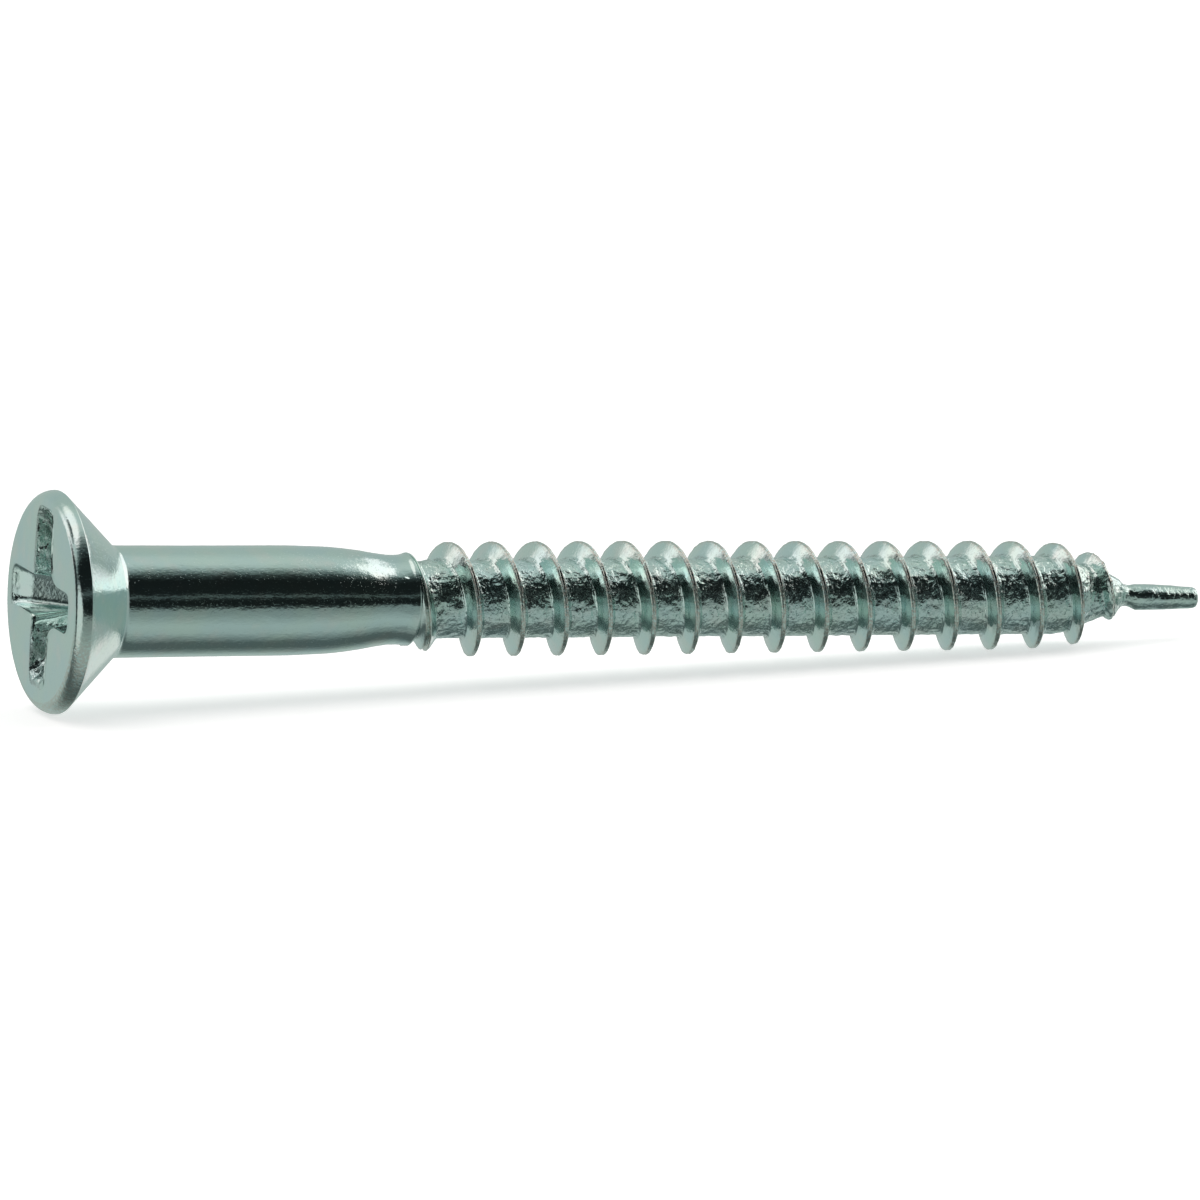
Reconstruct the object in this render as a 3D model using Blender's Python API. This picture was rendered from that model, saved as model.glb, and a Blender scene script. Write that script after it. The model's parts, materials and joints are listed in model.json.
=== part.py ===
"""Wood screw, US No. 10 x 2 in: countersunk head with a cross recess, plain shank, rolled thread, pip.

The screw is one piece of steel. Its origin is at the centre of the head's flat top, +X runs along its
axis to the tip and +Z is up. Angles about the axis are measured from +Y towards +Z. The recess's wings
lie along Y and Z. Lengths are in metres.
"""

import math

import bmesh
import bpy

MM = 0.001

# Head
HEAD_RADIUS = 4.70 * MM
FACE_RADIUS = 4.18 * MM      # the flat top, inside its rounded edge
EDGE_HEIGHT = 0.58 * MM      # from the flat top to the full radius
LAND_HEIGHT = 0.68 * MM      # from the flat top to the cone
CONE_HALF_ANGLE = math.radians(44.5)
SHANK_FILLET = 0.40 * MM     # radius of the fillet between the cone and the shank

# Shank
SHANK_RADIUS = 2.33 * MM
NECKING_START = 12.2 * MM
NECKING_END = 15.5 * MM      # the shank is necked down before the thread
NECK_RADIUS = 1.88 * MM
RIDGE_FOOT = (15.88 * MM, 1.90 * MM)     # (place along the axis, radius)
RIDGE_X = 16.15 * MM         # the ring of metal that thread rolling pushed up
RIDGE_RADIUS = 1.98 * MM

# Thread: right-handed, one start
PITCH = 25.4 * MM / 13       # 13 turns to the inch
FIRST_CREST = 15.69 * MM     # where the crest line crosses the +Y side for the first time
ROOT_START = 16.6 * MM
THREAD_END = 48.5 * MM
THREAD_END_RADIUS = 0.82 * MM
CREST_LINE = [               # (place along the axis, crest radius)
    (RIDGE_X, RIDGE_RADIUS),
    (18.1 * MM, 2.42 * MM),
    (24.4 * MM, 2.42 * MM),
    (34.0 * MM, 2.36 * MM),
    (43.0 * MM, 2.31 * MM),
    (46.1 * MM, 2.14 * MM),
    (47.3 * MM, 1.55 * MM),
    (THREAD_END, THREAD_END_RADIUS),
]
ROOT_LINE = [                # (place along the axis, root radius)
    (RIDGE_X, RIDGE_RADIUS),
    (ROOT_START, 1.67 * MM),
    (45.4 * MM, 1.66 * MM),
    (47.0 * MM, 1.24 * MM),
    (THREAD_END, THREAD_END_RADIUS),
]
THREAD_FORM = [              # (share of a pitch from the crest's middle, share of the thread's depth)
    (-0.233, 0.0),
    (-0.05, 1.0),
    (0.05, 1.0),
    (0.233, 0.0),
    (0.50, -0.03),
]

# Pip: the slim stub of wire left on the point
PIP_NECK = (48.9 * MM, 0.45 * MM)        # (place along the axis, radius)
PIP_START = (49.35 * MM, 0.56 * MM)
PIP_MIDDLE = (50.4 * MM, 0.54 * MM)
PIP_END = (51.8 * MM, 0.46 * MM)
OVERALL_LENGTH = 51.9 * MM
PIP_FLAT_RADIUS = 0.39 * MM

# Recess
WING_REACH = 3.62 * MM       # from the axis to a wing's end, at the flat top
WING_WIDTH = 1.70 * MM       # across a wing, at the flat top
WING_END_WIDTH = 0.90 * MM   # across the blunt end of a wing
WING_SHOULDER = 3.25 * MM    # from the axis to where a wing starts to narrow
RECESS_DEPTH = 2.9 * MM
FLOOR_REACH = 0.75 * MM      # from the axis to a wing's end, at the floor
FLOOR_WIDTH = 1.20 * MM      # across a wing, at the floor
POCKET_RADIUS = 1.45 * MM    # the round pocket in the middle, at the flat top
POCKET_FLOOR_RADIUS = 0.68 * MM
CUTTER_RISE = 0.3 * MM       # how far the cutters stand above the flat top

COLUMNS = 40                 # points around the axis
EDGE_STEPS = 4
FILLET_STEPS = 3
NECKING_STEPS = 6
ROOT_STEPS = 3
POCKET_SIDES = 24
SAME_PLACE = 0.0001 * MM     # points closer than this along the axis are one point
SHARP_ANGLE = math.radians(30)

ZINC_COLOUR = (0.42, 0.52, 0.50, 1.0)
ZINC_ROUGHNESS = 0.30


def clear_scene():
    """Removes every object that a new file starts with."""
    for thing in list(bpy.data.objects):
        bpy.data.objects.remove(thing, do_unlink=True)


def zinc_plate():
    """Bright zinc plating on steel."""
    plating = bpy.data.materials.new("zinc_plate")
    plating.use_nodes = True
    shader = plating.node_tree.nodes["Principled BSDF"]
    shader.inputs["Base Color"].default_value = ZINC_COLOUR
    shader.inputs["Metallic"].default_value = 1.0
    shader.inputs["Roughness"].default_value = ZINC_ROUGHNESS
    return plating


def share_of_turn(column):
    """How far round the axis a column is. No column is at the very bottom, so the head rests on a flat."""
    return (column + 0.5) / COLUMNS


def on_line(line, x):
    """The radius at x on a line of (x, radius) points."""
    for (x0, r0), (x1, r1) in zip(line, line[1:]):
        if x <= x1:
            return r0 + (r1 - r0) * max(x - x0, 0.0) / (x1 - x0)
    return line[-1][1]


def head_outline():
    """(x, radius) from the flat top's edge, over the land and down the cone to the shank."""
    points = []
    for step in range(EDGE_STEPS + 1):
        turn = math.pi / 2 * step / EDGE_STEPS
        x = EDGE_HEIGHT * (1 - math.cos(turn))
        points.append((x, FACE_RADIUS + (HEAD_RADIUS - FACE_RADIUS) * math.sin(turn)))
    points.append((LAND_HEIGHT, HEAD_RADIUS))
    # The fillet's centre is one fillet radius outside both the shank and the cone.
    fillet_radius_line = SHANK_RADIUS + SHANK_FILLET
    rise = HEAD_RADIUS - fillet_radius_line
    fillet_x = LAND_HEIGHT + (rise + SHANK_FILLET / math.cos(CONE_HALF_ANGLE)) / math.tan(CONE_HALF_ANGLE)
    for step in range(FILLET_STEPS + 1):
        turn = CONE_HALF_ANGLE * (1 - step / FILLET_STEPS)
        x = fillet_x - SHANK_FILLET * math.sin(turn)
        points.append((x, fillet_radius_line - SHANK_FILLET * math.cos(turn)))
    return points


def necking_outline():
    """(x, radius) from the end of the full shank to the ridge where the thread starts."""
    points = []
    for step in range(NECKING_STEPS + 1):
        share = step / NECKING_STEPS
        x = NECKING_START + (NECKING_END - NECKING_START) * share
        eased = share * share * (3 - 2 * share)
        points.append((x, SHANK_RADIUS + (NECK_RADIUS - SHANK_RADIUS) * eased))
    points.append(RIDGE_FOOT)
    points.append((RIDGE_X, RIDGE_RADIUS))
    return points


def thread_form(share):
    """The thread's height at a share of a pitch from the crest's middle, as a share of its depth."""
    first = THREAD_FORM[0][0]
    share = (share - first) % 1.0 + first
    around = THREAD_FORM + [(first + 1.0, THREAD_FORM[0][1])]
    return on_line(around, share)


def thread_radius(column, x):
    """The radius of the threaded length at one column and place along the axis."""
    turns = (x - FIRST_CREST) / PITCH - share_of_turn(column)
    root = on_line(ROOT_LINE, x)
    return root + (on_line(CREST_LINE, x) - root) * thread_form(turns)


class Skin:
    """A mesh wound around the axis, whose points are shared by their column and place."""

    def __init__(self):
        self.mesh = bmesh.new()
        self.points = {}

    def point(self, column, x, radius):
        """The vertex at a column and place, made once and then reused."""
        column %= COLUMNS
        key = (column, round(x / SAME_PLACE))
        if key not in self.points:
            angle = 2 * math.pi * share_of_turn(column)
            place = (x, radius * math.cos(angle), radius * math.sin(angle))
            self.points[key] = self.mesh.verts.new(place)
        return self.points[key]

    def face(self, corners):
        """A face through its different corners, if there are enough of them."""
        different = list(dict.fromkeys(corners))
        if len(different) > 2:
            self.mesh.faces.new(different)

    def ring(self, x, radius):
        """One ring of a turned outline."""
        return [self.point(column, x, radius) for column in range(COLUMNS)]

    def turned(self, outline):
        """The skin of a turned outline, from its first ring to its last."""
        rings = [self.ring(x, radius) for x, radius in outline]
        for near, far in zip(rings, rings[1:]):
            self.join(near, far)

    def join(self, near, far):
        """The faces between two rings."""
        for column in range(COLUMNS):
            after = (column + 1) % COLUMNS
            self.face([near[column], far[column], far[after], near[after]])


def thread_rings(skin):
    """Plain rings from the ridge down to the root, with the thread's first stretch rising out of them."""
    rings = []
    for step in range(ROOT_STEPS + 1):
        x = RIDGE_X + (ROOT_START - RIDGE_X) * step / ROOT_STEPS
        rings.append([skin.point(c, x, thread_radius(c, x)) for c in range(COLUMNS)])
    for near, far in zip(rings, rings[1:]):
        skin.join(near, far)


def thread_rows():
    """Where the thread's rows cross the +Y side, from before its root's start to past its end."""
    rows = []
    turn = math.floor((ROOT_START - FIRST_CREST) / PITCH) - 2
    while FIRST_CREST + turn * PITCH < THREAD_END + PITCH:
        rows += [FIRST_CREST + (turn + share) * PITCH for share, _ in THREAD_FORM]
        turn += 1
    return rows


def wind_thread(skin):
    """The threaded length: rows that follow the helix, cut off square at both ends."""
    rows = thread_rows()

    def corner(column, row):
        x = min(max(row + PITCH * share_of_turn(column), ROOT_START), THREAD_END)
        return skin.point(column, x, thread_radius(column % COLUMNS, x))

    for column in range(COLUMNS):
        for low, high in zip(rows, rows[1:]):
            after = column + 1
            skin.face([corner(column, low), corner(column, high), corner(after, high), corner(after, low)])


def screw_body():
    """The screw without its recess, as one closed mesh."""
    skin = Skin()
    skin.turned(head_outline() + necking_outline())
    thread_rings(skin)
    wind_thread(skin)
    pip = [PIP_NECK, PIP_START, PIP_MIDDLE, PIP_END, (OVERALL_LENGTH, PIP_FLAT_RADIUS)]
    skin.turned(pip)
    last_thread_ring = [skin.point(c, THREAD_END, thread_radius(c, THREAD_END)) for c in range(COLUMNS)]
    skin.join(last_thread_ring, skin.ring(*PIP_NECK))
    skin.face(skin.ring(*head_outline()[0]))
    skin.face(skin.ring(*pip[-1]))
    bmesh.ops.recalc_face_normals(skin.mesh, faces=skin.mesh.faces)
    data = bpy.data.meshes.new("wood_screw")
    skin.mesh.to_mesh(data)
    skin.mesh.free()
    return data


def link(name, data):
    """A new object in the scene."""
    thing = bpy.data.objects.new(name, data)
    bpy.context.scene.collection.objects.link(thing)
    return thing


def mark_as_cutter(cutter):
    """Keeps a cutting tool out of the finished part."""
    cutter.hide_render = True
    cutter.display_type = "WIRE"


def wing_outline(reach, shoulder, width, end_width):
    """The outline of two opposite wings: a long box whose ends narrow."""
    quarter = [(shoulder, width / 2), (reach, end_width / 2)]
    half = quarter + [(a, -b) for a, b in reversed(quarter)]
    return half + [(-a, -b) for a, b in half]


def wing_cutter(name, quarter_turn):
    """A tapered blade that cuts two opposite wings of the recess."""
    depth_range = RECESS_DEPTH + CUTTER_RISE
    slope = (WING_REACH - FLOOR_REACH) / RECESS_DEPTH
    draft = (WING_WIDTH - FLOOR_WIDTH) / RECESS_DEPTH
    wide = CUTTER_RISE * slope
    top = wing_outline(WING_REACH + wide, WING_SHOULDER + wide, WING_WIDTH + CUTTER_RISE * draft,
                       WING_END_WIDTH)
    narrowing = FLOOR_REACH / WING_REACH
    floor = wing_outline(FLOOR_REACH, WING_SHOULDER * narrowing, FLOOR_WIDTH, WING_END_WIDTH)
    mesh = bmesh.new()
    ends = []
    for x, outline in ((-CUTTER_RISE, top), (depth_range - CUTTER_RISE, floor)):
        corners = []
        for along, across in outline:
            place = (x, along, across) if quarter_turn == 0 else (x, -across, along)
            corners.append(mesh.verts.new(place))
        mesh.faces.new(corners)
        ends.append(corners)
    count = len(top)
    for index in range(count):
        after = (index + 1) % count
        mesh.faces.new([ends[0][index], ends[1][index], ends[1][after], ends[0][after]])
    bmesh.ops.recalc_face_normals(mesh, faces=mesh.faces)
    data = bpy.data.meshes.new(name)
    mesh.to_mesh(data)
    mesh.free()
    cutter = link(name, data)
    mark_as_cutter(cutter)
    return cutter


def pocket_cutter():
    """A blunt cone that opens the middle of the recess."""
    slope = (POCKET_RADIUS - POCKET_FLOOR_RADIUS) / RECESS_DEPTH
    mesh = bmesh.new()
    bmesh.ops.create_cone(
        mesh,
        cap_ends=True,
        segments=POCKET_SIDES,
        radius1=POCKET_RADIUS + CUTTER_RISE * slope,
        radius2=POCKET_FLOOR_RADIUS,
        depth=RECESS_DEPTH + CUTTER_RISE,
    )
    data = bpy.data.meshes.new("recess_pocket")
    mesh.to_mesh(data)
    mesh.free()
    cutter = link("recess_pocket", data)
    cutter.rotation_euler = (0.0, math.pi / 2, 0.0)
    cutter.location.x = (RECESS_DEPTH - CUTTER_RISE) / 2
    mark_as_cutter(cutter)
    return cutter


def cut(body, cutter):
    """Takes a cutter's shape out of the body."""
    modifier = body.modifiers.new(cutter.name, "BOOLEAN")
    modifier.operation = "DIFFERENCE"
    modifier.solver = "EXACT"
    modifier.object = cutter


def build():
    """The whole screw."""
    clear_scene()
    screw = link("wood_screw", screw_body())
    screw.data.materials.append(zinc_plate())
    cut(screw, wing_cutter("recess_wings_y", 0))
    cut(screw, wing_cutter("recess_wings_z", 1))
    cut(screw, pocket_cutter())
    screw.data.shade_smooth()
    screw.data.set_sharp_from_angle(angle=SHARP_ANGLE)


build()
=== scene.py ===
"""The wood screw's looks: a fine mesh with its recess, burrs and rolled thread, plating, and a studio.

The origin is at the centre of the head's flat top, +X runs along the axis to the tip and +Z is up.
Angles about the axis are measured from +Y towards +Z. Lengths are in metres.
"""

import json
import math

import bpy
import numpy as np
from mathutils import Matrix, Vector, noise

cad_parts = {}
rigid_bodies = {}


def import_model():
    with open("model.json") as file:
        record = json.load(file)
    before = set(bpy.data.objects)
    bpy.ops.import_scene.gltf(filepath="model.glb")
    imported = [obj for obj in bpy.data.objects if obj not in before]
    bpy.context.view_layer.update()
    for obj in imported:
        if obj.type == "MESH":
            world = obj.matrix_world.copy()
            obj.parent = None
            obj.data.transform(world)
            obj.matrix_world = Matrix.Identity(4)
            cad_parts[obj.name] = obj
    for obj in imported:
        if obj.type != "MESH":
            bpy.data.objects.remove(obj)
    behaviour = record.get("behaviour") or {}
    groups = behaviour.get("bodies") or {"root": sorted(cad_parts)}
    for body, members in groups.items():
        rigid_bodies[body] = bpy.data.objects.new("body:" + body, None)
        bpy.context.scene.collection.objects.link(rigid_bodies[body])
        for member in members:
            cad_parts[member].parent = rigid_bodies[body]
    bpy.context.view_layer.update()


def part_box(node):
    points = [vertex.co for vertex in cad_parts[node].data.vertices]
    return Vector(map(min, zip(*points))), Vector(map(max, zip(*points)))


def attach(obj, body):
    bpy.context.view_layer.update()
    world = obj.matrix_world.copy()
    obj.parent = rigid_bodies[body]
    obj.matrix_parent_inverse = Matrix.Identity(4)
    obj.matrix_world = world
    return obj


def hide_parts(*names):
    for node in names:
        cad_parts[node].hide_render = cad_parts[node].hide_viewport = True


MM = 0.001

# The frame gives the head's radius and the overall length. The rest follows the CAD part, with more of
# the photo's detail in the recess, the first turn, the point and the pip.
# A table of points is in millimetres. A stretch is a pair: where a change starts, and over what length.

# Head
FACE_RADIUS = 4.18 * MM
EDGE_START = 8              # degrees round the edge. The flat top's last ring is at 0
EDGE_MEETING = 45           # degrees, where its two curves meet
EDGE_CURVES = (0.41 * MM, 0.72 * MM)     # radii of the rounded edge: by the flat top, then by the land
LAND_END = 0.68 * MM
LAND_CORNER = 0.06 * MM     # radius of the corner between the land and the cone
LAND_CORNER_X = LAND_END - 0.05 * MM
LAND_CORNER_END = 132       # degrees, close to the cone's own
CONE_HALF_ANGLE = math.radians(44.5)
SHANK_FILLET = 0.40 * MM
SHANK_RADIUS = 2.36 * MM
RIM_BOTTOM_DARKENING = 0.8              # how much darker and browner the rim is round its bottom
RIM_BOTTOM_SPREAD = 0.4       # sine of the angle below level at which it is that dark

# Shank and thread: right-handed, one start
PITCH = 25.4 * MM / 13
FIRST_CREST = 15.69 * MM    # where the crest line crosses the +Y side for the first time
THREAD_START = 15.70 * MM
THREAD_END = 48.28 * MM
CORE_LINE = (               # (place along the axis, radius of the shank, and of the core between threads)
    (3.5, 2.35), (7.0, 2.325), (10.6, 2.31), (11.8, 2.275), (12.5, 2.25), (13.2, 2.19), (13.9, 2.105),
    (14.05, 2.085), (14.5, 2.005), (15.0, 1.93), (15.5, 1.88), (15.93, 1.90), (16.12, 1.98),
    (16.24, 1.90), (16.40, 1.70), (16.6, 1.62), (17.0, 1.63), (30.0, 1.64), (45.2, 1.66), (46.2, 1.46),
    (47.0, 1.14), (47.5, 0.98), (47.95, 0.86), (48.28, 0.70),
)
CREST_LINE = (              # (place along the axis, crest radius)
    (15.88, 1.88), (16.23, 2.00), (17.1, 2.20), (18.1, 2.42), (24.4, 2.42), (34.0, 2.36), (43.0, 2.31),
    (45.6, 2.20), (46.3, 2.11), (46.9, 1.86), (47.3, 1.68), (47.75, 1.25), (48.1, 0.92), (48.28, 0.70),
)
END_CLOSING = (45.4 * MM, 2.2 * MM)      # the stretch in which the last turn closes up
END_CLOSING_BY = 0.28 * MM
LAST_CREST = 43.5 * MM      # the last full-height crest, on which the screw lies
LAG_START = (16.1 * MM, 0.5 * MM)        # the stretches in which the first turn falls behind the others,
LAG_END = (16.7 * MM, 1.0 * MM)          # and catches up again
LAG = 0.22 * MM
CREST_HALF_WIDTH = 0.09 * MM
CREST_ROUNDING = 0.05       # how far the crest's edges are rounded down, as a share of the thread's depth
CREST_ROUNDING_STRETCH = (0.35, 0.9)     # in crest half-widths from its middle
CREST_ROUNDING_END = 1.6
FLANK_END = 0.455 * MM      # from the crest's middle to the foot of the flank
FLANK_FOOT = 0.20           # the flank's curved foot, as a share of its width
HALF_ROWS = (               # the mesh rows on one side of a crest, by their distance from it
    0.0, 0.03, 0.055, 0.085, 0.115, 0.17, 0.235, 0.30, 0.36, 0.41, 0.47, 0.56, 0.66, 0.76, 0.87,
)
SEAM_HALF_WIDTH = 0.035 * MM    # the seam along the crest, where the rolled metal met
SEAM_DEPTH = 0.06 * MM
SEAM_START = (15.85 * MM, 0.2 * MM)
FIRST_SEAM_END = (16.6 * MM, 1.0 * MM)   # up to here the seam is wider and deeper
FIRST_SEAM_WIDER = 0.7
FIRST_SEAM_DEEPER = 2.0

# Pip, bent down a little and slightly three-sided
PIP_LINE = (                # (place along the axis, radius)
    (48.34, 0.62), (48.44, 0.54), (48.56, 0.48), (48.70, 0.46), (48.88, 0.46), (49.02, 0.51),
    (49.16, 0.545), (49.6, 0.54), (50.0, 0.53), (50.4, 0.52), (50.8, 0.50), (51.2, 0.475), (51.6, 0.455),
    (51.78, 0.44), (51.87, 0.41), (51.90, 0.36),
)
PIP_DROP = 0.10 * MM        # how far below the axis the pip is bent at its start
PIP_END_DROP = 0.17 * MM
PIP_SIDES = 3
PIP_SIDES_TURN = 0.4        # radians
PIP_FLATNESS = 0.045        # share of the radius that the sides cut off
BEND_END = 1 / 4            # shares of the pip's length, by which it is bent, has its sides,
SIDES_END = 1 / 3           # and is no longer ragged
RAGGED_END = 1 / 6

# Recess
RECESS_DEPTH = 2.9 * MM
RECESS_CENTRE = (0.02 * MM, 0.13 * MM)                          # along Y and Z
RECESS_TURN = math.radians(2.5)                                 # from +Y towards +Z
WING_REACHES = (3.62 * MM, 3.84 * MM, 3.42 * MM, 3.50 * MM)     # towards +Y, +Z, -Y and -Z
WING_HALF_WIDTHS = (0.86 * MM, 0.92 * MM)                       # of the wings along Y, and along Z
WING_CORNER = 0.42 * MM
INNER_CORNERS = (0.30 * MM, 1.15 * MM)                          # how wide the blend is by +Y, and by -Y
INNER_CORNERS_SPAN = 0.8 * MM                                   # from the middle to where it is widest
INNER_CORNERS_TAPER = 0.7                                       # share that they lose down to the floor
WALL_DEPTHS = (0.0, 0.03, 0.207, 0.64, 1.0)                     # shares of the depth
WALL_REACHES = (1.0, 0.975, 0.823, 0.28, 0.10)                  # shares of a wing's reach, depth by depth
WALL_WIDTHS = (1.0, 0.97, 0.90, 0.68, 0.30)                     # shares of a wing's width
BURR = (                    # (distance out from the recess's edge, height above the flat top)
    (0.0, -0.012), (0.02, 0.006), (0.05, 0.016), (0.10, 0.012), (0.18, 0.004), (0.30, 0.0),
)
BURR_ROOM = 0.9 * MM        # where the flat top is narrower than this, the burr is narrower too
BURR_LEAST = 0.15           # the burr's tornness beside smooth walls
TORN_ALONG_Z = (1.0 * MM, 0.5 * MM)      # stretches in which the walls become torn,
TORN_FAR_END = (3.3 * MM, 0.3 * MM)      # this one towards +Y,
FAR_END_TORN = 0.5                       # and less so

# How far the metal's lumps stand out or in
LUMP_SIZE = 0.30 * MM
LUMP_FRACTAL = (0.7, 2.1, 3)             # increment, lacunarity and octaves
METAL_SEED = 7                           # another number gives other lumps
WALL_LUMPS = 0.004 * MM
TORN_LUMPS = 0.075 * MM                  # on the recess's torn walls
TORN_LUMPS_TAPER = 0.6                   # share that the walls' lumps lose down to the floor
BURR_LUMPS = 0.021 * MM
BURR_LEAST_LUMPS = 0.001 * MM
FACE_LUMPS = 0.0015 * MM
HEAD_LUMPS = 0.002 * MM
SHANK_LUMPS = 0.003 * MM
RIDGE_LUMPS = 0.012 * MM
RIDGE_STRETCH = (15.0 * MM, 0.6 * MM)    # where the shank turns as lumpy as the ridge
ROLLED_LUMPS = 0.024 * MM                # between the threads
CREST_LUMPS = 0.012 * MM
FIRST_TURN_LUMPS = 0.030 * MM
TIP_LUMPS = 0.016 * MM
THREAD_END_LUMPS = 0.03 * MM
PIP_LUMPS = 0.016 * MM
RAGGED_LUMPS = 0.045 * MM

# Where the thread's metal is rolled, and where it is a crest
ROLLED_HEIGHTS = (0.02, 0.22)            # stretches of the thread's height, as shares
CREST_HEIGHTS = (0.82, 0.12)
FULL_CREST = 0.5 * MM                    # the height of a crest that is fully worn
ROLLED_STRETCH = (16.2 * MM, 0.15 * MM)
FIRST_TURN_STRETCH = (16.8 * MM, 1.2 * MM)
TIP_STRETCH = (46.3 * MM, 1.6 * MM)
TIP_ROLLED = 0.7
PIP_ROLLED = 0.6

# Mesh
COLUMNS = 152
FINE_STEPS = 16                          # fine outline points for each column
HALVINGS = 32
BEYOND_WINGS = 5 * MM
RECESS_RINGS = 30
RECESS_SPREAD = 0.85                     # below 1, the recess's rings are closer together at the top
LAST_RECESS_SHARES = (0.022, 0.010)      # two rings under the burr, as shares of the depth
FACE_STEPS = 14
EDGE_STEPS = (7, 9)
LAND_CORNER_STEPS = 5
CONE_STEPS = 14
FILLET_STEPS = 8
SHANK_STEPS = 64


# ---------------------------------------------------------------- shape helpers

def smooth(share):
    """An eased 0 to 1."""
    share = np.clip(share, 0.0, 1.0)
    return share * share * (3 - 2 * share)


def eased(value, start, span):
    """0 before the start, 1 past the span, and an eased climb between."""
    return smooth((value - start) / span)


def on_curve(line, x):
    """The radius at x, in metres, on a smooth curve through (place, radius) points in millimetres."""
    places, radii = np.array(line).T
    steps = np.diff(radii) / np.diff(places)
    same_way = steps[:-1] * steps[1:] > 0
    total = np.where(same_way, steps[:-1] + steps[1:], 1.0)
    inner = np.where(same_way, 2 * steps[:-1] * steps[1:] / total, 0.0)
    slopes = np.concatenate([steps[:1], inner, steps[-1:]])
    x = np.clip(np.asarray(x) / MM, places[0], places[-1])
    span = np.clip(np.searchsorted(places, x) - 1, 0, len(places) - 2)
    width = places[span + 1] - places[span]
    share = (x - places[span]) / width
    back = 1 - share
    level = back * back * (1 + 2 * share) * radii[span]
    level += share * share * (3 - 2 * share) * radii[span + 1]
    lean = share * back * width * (back * slopes[span] - share * slopes[span + 1])
    return (level + lean) * MM


def columns():
    """The angle of each column about the axis."""
    return 2 * math.pi * np.arange(COLUMNS) / COLUMNS


class Skin:
    """Rings of points wound round the axis, joined by four-sided faces, with marks for each point."""

    def __init__(self):
        self.points = []
        self.faces = []
        self.marks = []
        self.count = 0

    def add(self, points, lumps=0.0, rolled=0.0, crest=0.0, punched=0.0):
        """Adds points, says how lumpy, rolled, crest-like and punched they are, and gives their numbers."""
        total = len(points)
        marks = np.empty((total, 4))
        for place, value in enumerate((lumps, rolled, crest, punched)):
            marks[:, place] = value
        self.points.append(points)
        self.marks.append(marks)
        self.count += total
        return np.arange(self.count - total, self.count)

    def turned(self, x, radius, **marks):
        """Adds a round ring."""
        angle = columns()
        ring = np.stack([np.full(COLUMNS, x), radius * np.cos(angle), radius * np.sin(angle)], axis=1)
        return self.add(ring, **marks)

    def join(self, near, far):
        """Joins two rings."""
        quads = np.stack([near, np.roll(near, -1), np.roll(far, -1), far], axis=1)
        self.faces.extend(quads.tolist())

    def run(self, rings):
        """Joins rings in order and gives the last."""
        for near, far in zip(rings, rings[1:]):
            self.join(near, far)
        return rings[-1]

    def cap(self, ring):
        """Closes a ring with a fan of faces round its middle."""
        points = np.concatenate(self.points)[ring]
        middle = self.add(points.mean(axis=0)[None, :])[0]
        self.faces.extend([[a, b, middle] for a, b in zip(ring.tolist(), np.roll(ring, -1).tolist())])


# ---------------------------------------------------------------- recess

def rounded_bar(across, along, half_width, reach, corner):
    """Signed distance to a bar with rounded ends."""
    a = np.abs(across) - (half_width - corner)
    b = np.abs(along) - (reach - corner)
    outside = np.hypot(np.maximum(a, 0), np.maximum(b, 0))
    return outside + np.minimum(np.maximum(a, b), 0) - corner


def cross_distance(y, z, share):
    """Signed distance to the recess's outline at a share of its depth, from the recess's own centre."""
    pull = np.interp(share, WALL_DEPTHS, WALL_REACHES)
    squeeze = np.interp(share, WALL_DEPTHS, WALL_WIDTHS)
    plus_y, plus_z, minus_y, minus_z = (reach * pull for reach in WING_REACHES)
    half_y, half_z = (half * squeeze for half in WING_HALF_WIDTHS)
    corner = WING_CORNER * squeeze
    reach_y = max((plus_y + minus_y) / 2, half_y)
    reach_z = max((plus_z + minus_z) / 2, half_z)
    wings_y = rounded_bar(z, y - (plus_y - minus_y) / 2, half_y, reach_y, corner)
    wings_z = rounded_bar(y, z - (plus_z - minus_z) / 2, half_z, reach_z, corner)
    plain, wide = INNER_CORNERS
    blend = plain + (wide - plain) * smooth(-y / INNER_CORNERS_SPAN)
    blend *= 1 - INNER_CORNERS_TAPER * share
    mix = np.clip(0.5 + 0.5 * (wings_z - wings_y) / blend, 0.0, 1.0)
    return wings_z * (1 - mix) + wings_y * mix - blend * mix * (1 - mix)


def fine_outline(share):
    """Finely spaced points on the recess's outline at a share of its depth, each found by halving."""
    fine = COLUMNS * FINE_STEPS
    angle = 2 * math.pi * np.arange(fine + 1) / fine
    low = np.zeros(fine + 1)
    high = np.full(fine + 1, BEYOND_WINGS)
    for _ in range(HALVINGS):
        middle = (low + high) / 2
        inside = cross_distance(middle * np.cos(angle), middle * np.sin(angle), share) < 0
        low = np.where(inside, middle, low)
        high = np.where(inside, high, middle)
    return low * np.cos(angle), low * np.sin(angle)


def cross_outline(share):
    """The recess's outline at a share of its depth, one point for each column.

    Points are evenly spaced within each eighth of a turn, between the middle of a wing's end and an
    inner corner of the cross, so that the corners of one outline lie under those of the next.
    """
    eighths = 8
    y, z = fine_outline(share)
    run = np.concatenate([[0.0], np.cumsum(np.hypot(np.diff(y), np.diff(z)))])
    anchors = run[:: COLUMNS * FINE_STEPS // eighths]
    stops = np.interp(eighths * np.arange(COLUMNS) / COLUMNS, np.arange(eighths + 1), anchors)
    outline = np.stack([np.interp(stops, run, y), np.interp(stops, run, z)], axis=1)
    turn = np.array([[math.cos(RECESS_TURN), math.sin(RECESS_TURN)],
                     [-math.sin(RECESS_TURN), math.cos(RECESS_TURN)]])
    return outline @ turn + np.array(RECESS_CENTRE)


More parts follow.
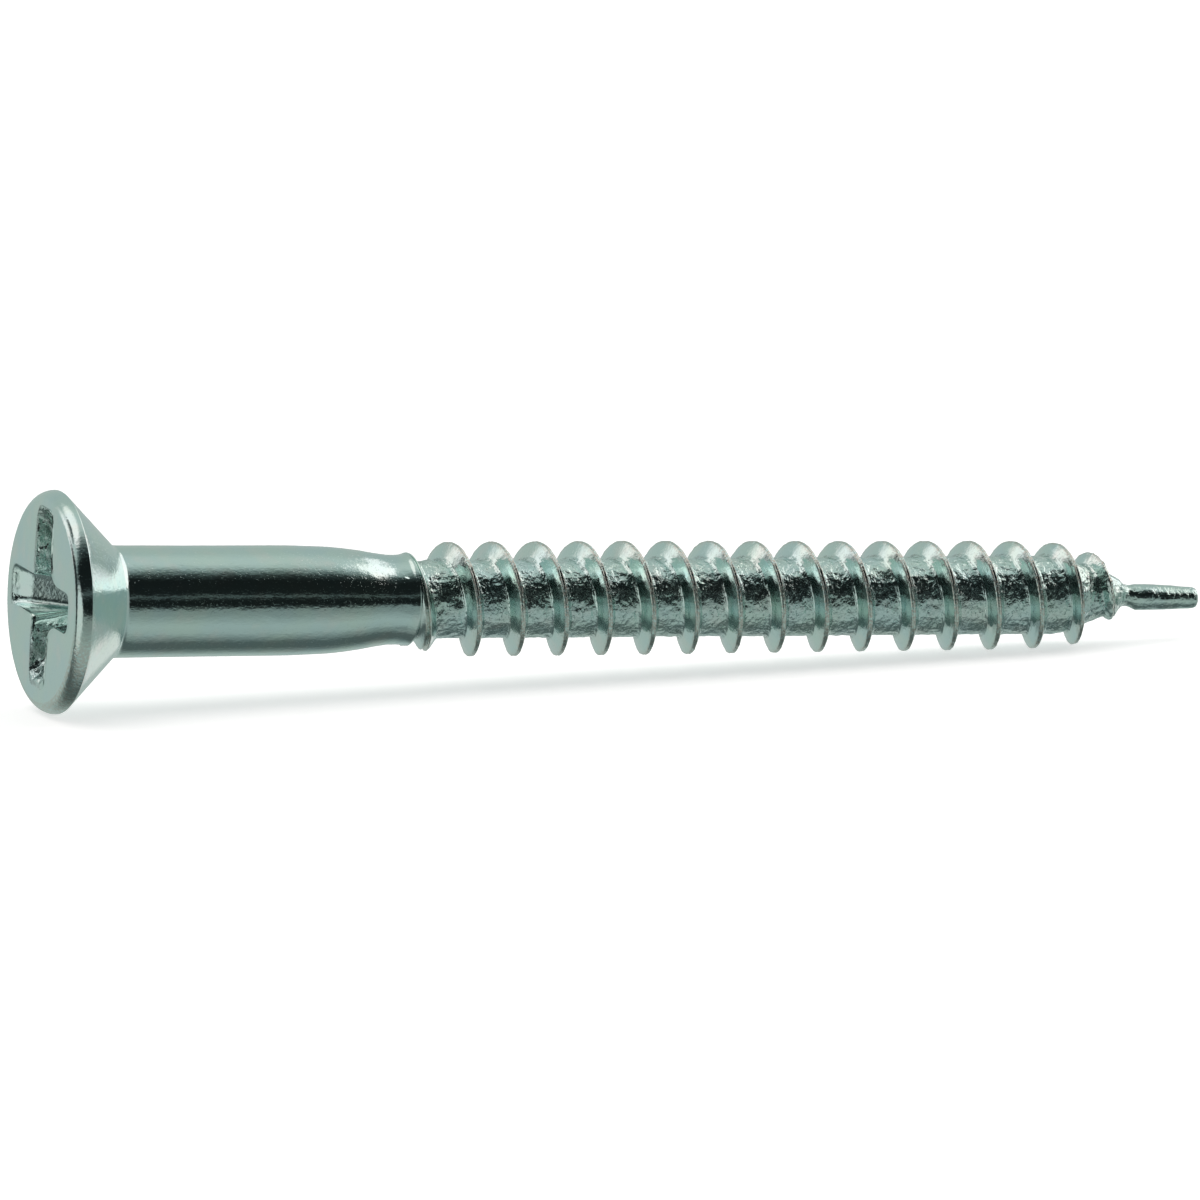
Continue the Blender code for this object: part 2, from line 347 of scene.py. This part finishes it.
def torn_share(outline):
    """Where the punched metal is torn: along Z and at the far end towards +Y. It's smooth along Y."""
    y, z = outline.T
    return np.maximum(eased(np.abs(z), *TORN_ALONG_Z), FAR_END_TORN * eased(y, *TORN_FAR_END))


def recess_rings(skin):
    """The recess, from the middle of its floor up to the flat top."""
    shares = 1 - np.linspace(0, 1, RECESS_RINGS) ** RECESS_SPREAD
    shares = np.append(shares[:-1], LAST_RECESS_SHARES)
    rings = []
    for share in shares:
        outline = cross_outline(share)
        ring = np.column_stack([np.full(COLUMNS, share * RECESS_DEPTH), outline])
        torn = torn_share(outline)
        lumps = (WALL_LUMPS + TORN_LUMPS * torn) * (1 - TORN_LUMPS_TAPER * share)
        rings.append(skin.add(ring, lumps=lumps, punched=torn))
    skin.cap(rings[0][::-1])
    return rings


def face_rings(skin):
    """The flat top, from the burr round the recess out to the start of its rounded edge."""
    inner = cross_outline(0.0)
    angle = columns()
    outer = FACE_RADIUS * np.stack([np.cos(angle), np.sin(angle)], axis=1)
    way = outer - inner
    gap = np.hypot(way[:, 0], way[:, 1])
    way /= gap[:, None]
    squeeze = np.minimum(1.0, gap / BURR_ROOM)
    torn = BURR_LEAST + (1 - BURR_LEAST) * torn_share(inner)
    burr_width = BURR[-1][0]
    rings = []
    for distance, rise in BURR:
        place = inner + way * (distance * MM * squeeze)[:, None]
        ring = np.column_stack([np.full(COLUMNS, -rise * MM), place])
        fade = 1 - distance / burr_width
        lumps = BURR_LUMPS * fade * torn + BURR_LEAST_LUMPS * (1 + torn)
        rings.append(skin.add(ring, lumps=lumps, punched=torn * fade))
    start = burr_width * MM * squeeze
    for share in np.linspace(0, 1, FACE_STEPS)[1:]:
        place = inner + way * (start + (gap - start) * share)[:, None]
        ring = np.column_stack([np.zeros(COLUMNS), place])
        rings.append(skin.add(ring, lumps=FACE_LUMPS))
    return rings


# ---------------------------------------------------------------- head and shank

def arc(centre_x, centre_r, radius, start, end, steps):
    """(x, radius) points on an arc. An angle of 0 faces the head's top, and 90 degrees faces outwards."""
    turns = np.radians(np.linspace(start, end, steps))
    return [(centre_x - radius * math.cos(t), centre_r + radius * math.sin(t)) for t in turns]


def head_outline(head_radius):
    """(x, radius) from the flat top's rounded edge over the land and down the cone to the shank."""
    first, second = EDGE_CURVES
    first_steps, second_steps = EDGE_STEPS
    points = arc(first, FACE_RADIUS, first, EDGE_START, EDGE_MEETING, first_steps)
    second_x = points[-1][0] + second * math.cos(math.radians(EDGE_MEETING))
    points += arc(second_x, head_radius - second, second, EDGE_MEETING, 90, second_steps)[1:]
    corner_r = head_radius - LAND_CORNER
    points += arc(LAND_CORNER_X, corner_r, LAND_CORNER, 90, LAND_CORNER_END, LAND_CORNER_STEPS)
    centre_r = SHANK_RADIUS + SHANK_FILLET
    slope = math.tan(CONE_HALF_ANGLE)
    cone_x, cone_r = points[-1]
    foot_r = centre_r - SHANK_FILLET * math.cos(CONE_HALF_ANGLE)
    foot_x = cone_x + (cone_r - foot_r) / slope
    for share in np.linspace(0, 1, CONE_STEPS)[1:]:
        points.append((cone_x + (foot_x - cone_x) * share, cone_r + (foot_r - cone_r) * share))
    centre_x = foot_x + SHANK_FILLET * math.sin(CONE_HALF_ANGLE)
    for turn in np.linspace(CONE_HALF_ANGLE, 0, FILLET_STEPS)[1:]:
        x = centre_x - SHANK_FILLET * math.sin(turn)
        points.append((x, centre_r - SHANK_FILLET * math.cos(turn)))
    return points


def shank_rings(skin, start):
    """The plain shank, its necking and the start of the rolled ridge."""
    rings = []
    for x in np.linspace(start, THREAD_START, SHANK_STEPS)[1:]:
        lumps = SHANK_LUMPS + RIDGE_LUMPS * eased(x, *RIDGE_STRETCH)
        rings.append(skin.turned(x, on_curve(CORE_LINE, x), lumps=lumps))
    return rings


# ---------------------------------------------------------------- thread

def thread_form(offset):
    """The thread's height, as a share of its depth, at a distance along the axis from its crest."""
    away = np.abs(offset)
    share = np.clip((FLANK_END - away) / (FLANK_END - CREST_HALF_WIDTH), 0.0, 1.0)
    foot = FLANK_FOOT
    flank = np.where(share < foot, share * share / (2 * foot), share - foot / 2) / (1 - foot / 2)
    rounding = CREST_ROUNDING * eased(away / CREST_HALF_WIDTH, *CREST_ROUNDING_STRETCH)
    return flank - rounding * (away < CREST_ROUNDING_END * CREST_HALF_WIDTH)


def thread_rows():
    """The rows' distances from the crest within one pitch, close together over the crest and flanks."""
    half = np.array(HALF_ROWS) * MM
    return np.concatenate([-half[:0:-1], half])


def threaded_surface(offset, x):
    """The radius at a distance from the crest, the form's height there, and how full the crest is."""
    root = on_curve(CORE_LINE, x)
    crest = np.maximum(on_curve(CREST_LINE, x), root)
    form = thread_form(offset)
    first = 1 - eased(x, *FIRST_SEAM_END)
    width = SEAM_HALF_WIDTH * (1 + FIRST_SEAM_WIDER * first)
    seam = np.exp(-((offset / width) ** 2)) * eased(x, *SEAM_START)
    radius = root + (crest - root) * form - SEAM_DEPTH * (1 + FIRST_SEAM_DEEPER * first) * seam
    return radius, form, np.clip((crest - root) / FULL_CREST, 0, 1)


def thread_grid(angle):
    """Each row's place along the axis at each column, and its distance from its crest.

    The rows follow the helix, from two turns before the thread's start to two past its end.
    """
    within = thread_rows()
    first_turn = math.floor((THREAD_START - FIRST_CREST) / PITCH) - 2
    last_turn = math.ceil((THREAD_END - FIRST_CREST) / PITCH) + 2
    turns = np.arange(first_turn, last_turn)
    rows = (FIRST_CREST + turns[:, None] * PITCH + within[None, :]).ravel()
    even_x = rows[:, None] + PITCH * angle[None, :] / (2 * math.pi)
    x = even_x - END_CLOSING_BY * eased(even_x, *END_CLOSING)
    x -= LAG * eased(even_x, *LAG_START) * (1 - eased(even_x, *LAG_END))
    offset = np.broadcast_to(np.tile(within, len(turns))[:, None], x.shape)
    return x, offset


def thread_marks(x, form, fullness):
    """How lumpy, rolled and crest-like the metal is at each point of the thread."""
    rolled = (1 - eased(form, *ROLLED_HEIGHTS)) * eased(x, *ROLLED_STRETCH)
    tip = eased(x, *TIP_STRETCH)
    rolled = np.maximum(rolled, TIP_ROLLED * tip)
    first_turn = rolled * (1 - eased(x, *FIRST_TURN_STRETCH))
    crest = eased(form, *CREST_HEIGHTS) * fullness
    lumps = SHANK_LUMPS + ROLLED_LUMPS * rolled + CREST_LUMPS * crest
    lumps += TIP_LUMPS * tip + FIRST_TURN_LUMPS * first_turn
    return {"lumps": lumps, "rolled": rolled, "crest": crest}


def join_helix(skin, table, past_end):
    """Joins a table of points, where a row's last column meets the first of the row one pitch on."""
    per_pitch = len(thread_rows())
    after = np.empty_like(table)
    after[:, :-1] = table[:, 1:]
    after[:-per_pitch, -1] = table[per_pitch:, 0]
    after[-per_pitch:, -1] = past_end
    quads = np.stack([table[:-1], after[:-1], after[1:], table[1:]], axis=-1).reshape(-1, 4)
    whole = np.all(quads != np.roll(quads, 1, axis=1), axis=1)
    skin.faces.extend(quads[whole].tolist())
    for quad in quads[~whole].tolist():
        different = list(dict.fromkeys(quad))
        if len(different) == 3:
            skin.faces.append(different)


def wind_thread(skin, first_ring):
    """The threaded length, in rows that follow the helix and are cut off square at both ends."""
    angle = columns()
    x, offset = thread_grid(angle)
    before = x <= THREAD_START
    beyond = x >= THREAD_END
    inside = ~(before | beyond)
    turn = np.broadcast_to(angle, x.shape)[inside]
    radius, form, fullness = threaded_surface(offset[inside], x[inside])
    points = np.stack([x[inside], radius * np.cos(turn), radius * np.sin(turn)], axis=1)
    table = np.empty(x.shape, int)
    table[inside] = skin.add(points, **thread_marks(x[inside], form, fullness))
    end_radius = on_curve(CORE_LINE, THREAD_END)
    last_ring = skin.turned(THREAD_END, end_radius, lumps=THREAD_END_LUMPS, rolled=1.0)
    table[before] = np.broadcast_to(first_ring, x.shape)[before]
    table[beyond] = np.broadcast_to(last_ring, x.shape)[beyond]
    join_helix(skin, table, last_ring[0])
    return last_ring


def pip_rings(skin, length):
    """The ragged end of the point, its neck and the pip, bent a little below the axis."""
    angle = columns()
    sides = PIP_FLATNESS * np.cos(PIP_SIDES * angle + PIP_SIDES_TURN)
    start = PIP_LINE[0][0] * MM
    rings = []
    for place, radius in PIP_LINE:
        x = place * MM
        share = (x - start) / (length - start)
        drop = smooth(share / BEND_END) * (PIP_DROP + (PIP_END_DROP - PIP_DROP) * share)
        reach = radius * MM * (1 - sides * smooth(share / SIDES_END))
        ring = np.column_stack([np.full(COLUMNS, x), reach * np.cos(angle), reach * np.sin(angle) - drop])
        ragged = float(1 - smooth(share / RAGGED_END))
        rolled = PIP_ROLLED + (1 - PIP_ROLLED) * ragged
        rings.append(skin.add(ring, lumps=PIP_LUMPS + RAGGED_LUMPS * ragged, rolled=rolled))
    return rings


# ---------------------------------------------------------------- mesh

def lump_height(place):
    """Smooth lumps between about -1 and 1."""
    return noise.fractal(place / LUMP_SIZE, *LUMP_FRACTAL, noise_basis="PERLIN_ORIGINAL")


def add_lumps(data, marks):
    """Pushes each point out or in along its normal by a lump of its own metal's height."""
    total = len(data.vertices)
    normals = np.empty(total * 3)
    data.vertices.foreach_get("normal", normals)
    places = np.empty(total * 3)
    data.vertices.foreach_get("co", places)
    normals, places = normals.reshape(-1, 3), places.reshape(-1, 3)
    shift = Vector((METAL_SEED, 0.0, 0.0)) * MM
    heights = np.array([lump_height(Vector(place) + shift) for place in places])
    places += normals * (heights * marks[:, 0])[:, None]
    data.vertices.foreach_set("co", places.ravel())
    data.update()


def store_marks(data, marks):
    """Keeps the marks that the plating reads as point attributes."""
    for place, name in ((1, "rolled"), (2, "crest"), (3, "punched")):
        layer = data.attributes.new(name, "FLOAT", "POINT")
        layer.data.foreach_set("value", marks[:, place].astype(np.float32))


def screw_mesh():
    """The whole screw as one closed mesh."""
    _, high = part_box("wood_screw")
    skin = Skin()
    rings = recess_rings(skin) + face_rings(skin)
    outline = head_outline(high.z)
    # The rim turns darker and browner towards its bottom, with the crests' brownish specks
    crest_marked = RIM_BOTTOM_DARKENING * smooth(-np.sin(columns()) / RIM_BOTTOM_SPREAD)
    for x, radius in outline:
        rings.append(skin.turned(x, radius, lumps=HEAD_LUMPS, crest=crest_marked * (x < LAND_END)))
    rings += shank_rings(skin, outline[-1][0])
    last = skin.run(rings)
    last = wind_thread(skin, last)
    last = skin.run([last] + pip_rings(skin, high.x))
    skin.cap(last)
    points = np.concatenate(skin.points)
    marks = np.concatenate(skin.marks)
    data = bpy.data.meshes.new("screw")
    data.from_pydata(points.tolist(), [], skin.faces)
    data.update()
    add_lumps(data, marks)
    store_marks(data, marks)
    data.shade_smooth()
    return data


# ---------------------------------------------------------------- shader nodes

class Graph:
    """Short ways to add nodes to a material or a world."""

    def __init__(self, owner):
        owner.use_nodes = True
        self.nodes = owner.node_tree.nodes
        self.links = owner.node_tree.links

    def put(self, value, socket):
        """Links an output to a socket, or sets the socket to a number, a vector or a colour."""
        if isinstance(value, bpy.types.NodeSocket):
            self.links.new(value, socket)
        else:
            socket.default_value = value

    def maths(self, kind, a, b):
        """A sum, a product or another operation on two values."""
        node = self.nodes.new("ShaderNodeMath")
        node.operation = kind
        self.put(a, node.inputs[0])
        self.put(b, node.inputs[1])
        return node.outputs["Value"]

    def ramp(self, value, low, high, start=0.0, end=1.0):
        """A value that runs from start to end while another runs from low to high."""
        node = self.nodes.new("ShaderNodeMapRange")
        for name, number in (("From Min", low), ("From Max", high), ("To Min", start), ("To Max", end)):
            self.put(number, node.inputs[name])
        self.put(value, node.inputs["Value"])
        return node.outputs["Result"]

    def towards(self, direction, way):
        """How closely a direction points along a way: 1 is straight along it."""
        node = self.nodes.new("ShaderNodeVectorMath")
        node.operation = "DOT_PRODUCT"
        self.put(direction, node.inputs[0])
        self.put(Vector(way).normalized(), node.inputs[1])
        return node.outputs["Value"]

    def noise(self, place, size, detail=3.0, stretch=(1.0, 1.0, 1.0)):
        """Noise of a size in metres."""
        spread = self.nodes.new("ShaderNodeMapping")
        self.put(stretch, spread.inputs["Scale"])
        self.put(place, spread.inputs["Vector"])
        texture = self.nodes.new("ShaderNodeTexNoise")
        self.put(1 / size, texture.inputs["Scale"])
        self.put(detail, texture.inputs["Detail"])
        self.put(spread.outputs["Vector"], texture.inputs["Vector"])
        return texture.outputs["Fac"]

    def patches(self, place, kind, detail=3.0, least=0.0, most=1.0, stretch=(1.0, 1.0, 1.0)):
        """Patches of a kind, given as (size, start, full): least outside them and most within."""
        size, start, full = kind
        return self.ramp(self.noise(place, size, detail, stretch), start, full, least, most)

    def mark(self, name):
        """One of the marks kept on the mesh."""
        node = self.nodes.new("ShaderNodeAttribute")
        node.attribute_name = name
        return node.outputs["Fac"]

    def blend(self, share, first, second):
        """A share of the way from one colour to another."""
        node = self.nodes.new("ShaderNodeMix")
        node.data_type = "RGBA"
        self.put(first, node.inputs["A"])
        self.put(second, node.inputs["B"])
        self.put(share, node.inputs["Factor"])
        return node.outputs["Result"]


# ---------------------------------------------------------------- material

ZINC_GREEN = (0.70, 0.86, 0.80, 1.0)
ZINC_BLUE = (0.67, 0.84, 0.83, 1.0)
ZINC_ROSE = (0.80, 0.84, 0.80, 1.0)
# Brownish: the crests' worn specks, and the rim's darker, browner bottom
ZINC_BROWNISH = (0.66, 0.67, 0.61, 1.0)
# A painted dark reflection: the colour that darkens the recess's torn walls in patches
ZINC_PAINTED_DARK_REFLECTION = (0.22, 0.25, 0.23, 1.0)
ROSE_SHARE = 0.6            # the most that a patch takes of the rosy tint
PAINTED_REFLECTION_SHARE = 0.6
ROUGHNESS = (0.07, 0.12)    # outside the rough patches, and within
PUNCHED_ROUGHNESS = 0.03    # how much rougher the punched metal is
RELIEF_UNIT = 0.02 * MM     # how high a relief of 1 stands

# Patches: (size, the noise at which they start, and at which they are full)
BLUE_PATCHES = (1.8 * MM, 0.38, 0.62)
ROSY_PATCHES = (1.1 * MM, 0.50, 0.72)
# Patches of painted dark reflection on the recess's torn walls
PAINTED_REFLECTION_PATCHES = (0.9 * MM, 0.44, 0.60)
WORN_SPECKS = (0.11 * MM, 0.36, 0.56)
ROUGH_PATCHES = (0.5 * MM, 0.3, 0.7)
SCRATCHES = (0.13 * MM, 0.57, 0.70)
PITS = (0.09 * MM, 0.62, 0.70)
SCRATCH_DEPTH = 0.9
PIT_DEPTH = 0.10

# Relief: (size, height)
CRUMPLES = (0.34 * MM, 5.6)
TEARS = (0.55 * MM, 12.0)
WAVES = (1.3 * MM, 0.9)
PEEL = (0.13 * MM, 0.33)
WEAR_SIZE = 0.09 * MM


def plating_tint(graph, place):
    """Green, blue and some rosy patches, a painted dark reflection on the recess's torn walls, and brownish
    specks: worn at the crests, and darker towards the bottom of the rim.
    """
    tint = graph.blend(graph.patches(place, BLUE_PATCHES), ZINC_GREEN, ZINC_BLUE)
    tint = graph.blend(graph.patches(place, ROSY_PATCHES, 2.0, most=ROSE_SHARE), tint, ZINC_ROSE)
    # Painted dark reflection: the recess's torn walls turn darker in patches
    painted_reflection = graph.patches(place, PAINTED_REFLECTION_PATCHES, 4.0, most=PAINTED_REFLECTION_SHARE)
    tint = graph.blend(graph.maths("MULTIPLY", graph.mark("punched"), painted_reflection), tint, ZINC_PAINTED_DARK_REFLECTION)
    specks = graph.patches(place, WORN_SPECKS)
    return graph.blend(graph.maths("MULTIPLY", graph.mark("crest"), specks), tint, ZINC_BROWNISH)


def rolled_relief(graph, place):
    """Crumpled and scratched metal, where the thread was rolled."""
    size, height = CRUMPLES
    coarse = graph.maths("MULTIPLY", graph.noise(place, size, 3.0, (1.0, 0.8, 0.8)), height)
    scratches = graph.patches(place, SCRATCHES, 2.0, most=-SCRATCH_DEPTH, stretch=(1.0, 0.6, 0.6))
    return graph.maths("MULTIPLY", graph.maths("ADD", coarse, scratches), graph.mark("rolled"))


def punched_relief(graph, place):
    """Torn metal, where the recess was punched."""
    size, height = TEARS
    tearing = graph.maths("MULTIPLY", graph.mark("punched"), height)
    return graph.maths("MULTIPLY", graph.noise(place, size, 3.0), tearing)


def fine_relief(graph, place):
    """A fine orange peel with small pits everywhere, and worn metal at the crests."""
    size, height = PEEL
    peel = graph.maths("MULTIPLY", graph.noise(place, size, 4.0, (0.6, 1.0, 1.0)), height)
    pits = graph.patches(place, PITS, 2.0, most=-PIT_DEPTH)
    crest_marked = graph.maths("MULTIPLY", graph.noise(place, WEAR_SIZE, 3.0), graph.mark("crest"))
    return graph.maths("ADD", graph.maths("ADD", peel, pits), crest_marked)


def plating_height(graph, place):
    """The metal's whole relief, with slow waves under the rest."""
    size, height = WAVES
    waves = graph.maths("MULTIPLY", graph.noise(place, size, 2.0), height)
    rough = graph.maths("ADD", rolled_relief(graph, place), punched_relief(graph, place))
    return graph.maths("ADD", graph.maths("ADD", rough, waves), fine_relief(graph, place))


def zinc_plating():
    """Bright zinc plating over cold-headed, thread-rolled steel."""
    plating = bpy.data.materials.new("zinc_plating")
    graph = Graph(plating)
    shader = graph.nodes["Principled BSDF"]
    place = graph.nodes.new("ShaderNodeTexCoord").outputs["Object"]
    rough = graph.patches(place, ROUGH_PATCHES, 4.0, *ROUGHNESS)
    dull = graph.maths("MULTIPLY", graph.mark("punched"), PUNCHED_ROUGHNESS)
    bump = graph.nodes.new("ShaderNodeBump")
    graph.put(1.0, bump.inputs["Strength"])
    graph.put(RELIEF_UNIT, bump.inputs["Distance"])
    graph.put(plating_height(graph, place), bump.inputs["Height"])
    graph.put(1.0, shader.inputs["Metallic"])
    graph.put(plating_tint(graph, place), shader.inputs["Base Color"])
    graph.put(graph.maths("ADD", rough, dull), shader.inputs["Roughness"])
    graph.put(bump.outputs["Normal"], shader.inputs["Normal"])
    return plating


# ---------------------------------------------------------------- studio

# The light tent as the screw's metal reflects it: pale at the back and overhead, with the dark side that
# the photographer stands on, a faint strip light in it, the pale table, and the screw's own shadow.
TENT_BANDS = (              # (degrees round the X axis: 0 is level in front, 90 is overhead; brightness)
    (-180, 1.00), (-140, 0.95), (-118, 0.40), (-108, 0.22), (-88, 0.22), (-74, 0.52), (-62, 0.78),
    (-45, 0.86), (-30, 0.68), (-21, 0.54), (-10, 0.48), (-5, 0.06), (0, 0.02), (14, 0.025), (18, 0.28),
    (21, 0.025), (53, 0.02), (63, 0.07), (72, 0.36), (82, 0.92), (92, 1.16), (108, 1.14), (125, 0.98),
    (150, 0.95), (180, 1.00),
)
TENT_TOP = 2.5              # above every brightness in the tent
TENT_STRENGTH = 0.5
TENT_PATCHES = (            # (way to the patch, cosines off it where it starts and is full, brightness)
    ((1.0, 0.0, 0.0), 0.72, 0.88, 0.75),        # the end beyond the tip
    ((0.94, 0.33, 0.00), 0.982, 0.997, 2.0),    # lamps beyond the tip, level and low
    ((0.76, 0.55, -0.36), 0.972, 0.992, 1.5),
    ((0.76, 0.36, 0.54), 0.932, 0.942, 2.2),    # lamps overhead: two to the right, one to the left
    ((0.80, 0.05, 0.60), 0.912, 0.925, 2.4),
    ((-0.42, 0.20, 0.89), 0.88, 0.95, 2.0),
    ((-0.70, 0.28, 0.66), 0.972, 0.985, 0.2),   # the gap between that lamp and the next
    ((-0.80, 0.48, 0.36), 0.92, 0.985, 2.0),    # a lamp beyond the head, at the back
    ((-0.97, 0.22, 0.08), 0.90, 0.97, 0.06),    # the opening beyond the head
    ((-0.92, -0.35, -0.15), 0.89, 0.94, 1.30),  # a small reflector in front of the head
)
TENT_TINTS = (              # (brightness, the tent's tint there)
    (0.0, (0.79, 1.03, 1.02)),
    (0.5, (0.87, 1.02, 0.97)),
    (1.1, (0.90, 1.01, 0.97)),
    (1.7, (1.10, 1.02, 1.00)),
)
FLOOR_COLOUR = (0.92, 0.92, 0.92, 1.0)
BACKDROP_COLOUR = (0.955, 0.955, 0.955, 1.0)
FLOOR_SIZE = 6.0
FLOOR_GAP = 0.02 * MM       # keeps the metal's lumps clear of the floor
TABLE_GLOW = 0.58           # the floor is a light table, so the screw's shadow on it is faint
OVERHEAD_SIZE = 1.6
OVERHEAD_WATTS = 3.8
OVERHEAD_PLACE = (0.15, 1.2)    # along Y and Z


def floor_tilt(high):
    """The angle at which the head's rim and the last full crest both touch the floor."""
    return math.atan2(high.z - on_curve(CREST_LINE, LAST_CREST), LAST_CREST - LAND_END)


def add_floor(low, high):
    """A plain pale floor that the screw lies on."""
    tilt = floor_tilt(high)
    bpy.ops.mesh.primitive_plane_add(size=FLOOR_SIZE)
    floor = bpy.context.object
    floor.name = "floor"
    floor.location = (LAND_END, 0.0, low.z - FLOOR_GAP)
    floor.rotation_euler = (0.0, -tilt, 0.0)
    floor.visible_glossy = False
    pale = bpy.data.materials.new("pale_floor")
    graph = Graph(pale)
    shader = graph.nodes["Principled BSDF"]
    graph.put(FLOOR_COLOUR, shader.inputs["Base Color"])
    graph.put(0.9, shader.inputs["Roughness"])
    graph.put(0.1, shader.inputs["Specular IOR Level"])
    graph.put((1.0, 1.0, 1.0, 1.0), shader.inputs["Emission Color"])
    graph.put(TABLE_GLOW, shader.inputs["Emission Strength"])
    floor.data.materials.append(pale)


def add_overhead(centre):
    """A soft box overhead, which lights the floor. The metal reflects the tent instead."""
    lamp = bpy.data.lights.new("overhead_softbox", "AREA")
    lamp.size = OVERHEAD_SIZE
    lamp.energy = OVERHEAD_WATTS
    holder = bpy.data.objects.new("overhead_softbox", lamp)
    bpy.context.scene.collection.objects.link(holder)
    holder.location = (centre.x, *OVERHEAD_PLACE)
    holder.rotation_euler = (centre - holder.location).to_track_quat("-Z", "Y").to_euler()
    holder.visible_camera = False
    holder.visible_glossy = False


def tent_colour(brightness):
    """The tent's colour at a brightness: greenish blue where it is dark, and warm where it is bright."""
    levels, tints = zip(*TENT_TINTS)
    tint = [float(np.interp(brightness, levels, channel)) for channel in zip(*tints)]
    return [channel * brightness / TENT_TOP for channel in tint] + [1.0]


def tent_bands(graph, direction):
    """The tent's colour by the angle round the X axis."""
    split = graph.nodes.new("ShaderNodeSeparateXYZ")
    graph.put(direction, split.inputs["Vector"])
    front = graph.maths("MULTIPLY", split.outputs["Y"], -1.0)
    turn = graph.maths("ARCTAN2", split.outputs["Z"], front)
    bands = graph.nodes.new("ShaderNodeValToRGB")
    stops = bands.color_ramp.elements
    for degrees, _ in TENT_BANDS[1:-1]:
        stops.new((degrees + 180) / 360)
    for stop, (degrees, brightness) in zip(stops, TENT_BANDS):
        stop.position = (degrees + 180) / 360
        stop.color = tent_colour(brightness)
    graph.put(graph.ramp(turn, -math.pi, math.pi), bands.inputs["Fac"])
    return bands.outputs["Color"]


def add_world():
    """The light tent, by direction. The camera sees a pale backdrop instead."""
    world = bpy.data.worlds.new("studio")
    bpy.context.scene.world = world
    graph = Graph(world)
    direction = graph.nodes.new("ShaderNodeTexCoord").outputs["Generated"]
    colour = tent_bands(graph, direction)
    for way, start, full, brightness in TENT_PATCHES:
        share = graph.ramp(graph.towards(direction, way), start, full)
        colour = graph.blend(share, colour, tent_colour(brightness))
    tent = graph.nodes["Background"]
    graph.put(colour, tent.inputs["Color"])
    graph.put(TENT_STRENGTH * TENT_TOP, tent.inputs["Strength"])
    backdrop = graph.nodes.new("ShaderNodeBackground")
    graph.put(BACKDROP_COLOUR, backdrop.inputs["Color"])
    mix = graph.nodes.new("ShaderNodeMixShader")
    graph.put(graph.nodes.new("ShaderNodeLightPath").outputs["Is Camera Ray"], mix.inputs["Fac"])
    graph.put(tent.outputs["Background"], mix.inputs[1])
    graph.put(backdrop.outputs["Background"], mix.inputs[2])
    graph.put(mix.outputs["Shader"], graph.nodes["World Output"].inputs["Surface"])


# ---------------------------------------------------------------- camera

CAMERA_AZIMUTH = math.radians(-20.9)
CAMERA_ELEVATION = math.radians(8.5)
CAMERA_DISTANCE = 1.0
CAMERA_LENS = 713.6              # focal length in millimetres
CAMERA_CLIP = (0.01, 20.0)
CAMERA_AIM = 24.90 * MM          # the point of the axis by the picture's middle,
CAMERA_AIM_DOWN = 0.08 * MM      # and how far under it the middle is
AXIS_RISE = math.radians(0.42)   # how much the axis climbs to the right in the picture


def add_camera():
    """A long lens low in front of the screw, turned towards its head and rolled to the axis's rise."""
    back = Vector((math.sin(CAMERA_AZIMUTH) * math.cos(CAMERA_ELEVATION),
                   -math.cos(CAMERA_AZIMUTH) * math.cos(CAMERA_ELEVATION),
                   math.sin(CAMERA_ELEVATION)))
    axis = Vector((1.0, 0.0, 0.0))
    across = (axis - back * axis.dot(back)).normalized()
    above = back.cross(across)
    right = across * math.cos(AXIS_RISE) - above * math.sin(AXIS_RISE)
    up = back.cross(right)
    lens = bpy.data.cameras.new("camera")
    lens.lens = CAMERA_LENS
    lens.clip_start, lens.clip_end = CAMERA_CLIP
    camera = bpy.data.objects.new("camera", lens)
    bpy.context.scene.collection.objects.link(camera)
    aim = axis * CAMERA_AIM - up * CAMERA_AIM_DOWN
    turn = Matrix((right, up, back)).transposed().to_4x4()
    camera.matrix_world = Matrix.Translation(aim + back * CAMERA_DISTANCE) @ turn
    bpy.context.scene.camera = camera


# ---------------------------------------------------------------- scene

def clear_start_objects():
    """Removes what a new file starts with."""
    for thing in list(bpy.data.objects):
        bpy.data.objects.remove(thing, do_unlink=True)


clear_start_objects()
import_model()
low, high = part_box("wood_screw")
centre = Vector(((low.x + high.x) / 2, 0.0, 0.0))

screw = bpy.data.objects.new("screw", screw_mesh())
bpy.context.scene.collection.objects.link(screw)
screw.data.materials.append(zinc_plating())
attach(screw, "root")
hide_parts("wood_screw")

add_floor(low, high)
add_overhead(centre)
add_world()
add_camera()
bpy.context.scene.view_settings.view_transform = "Standard"
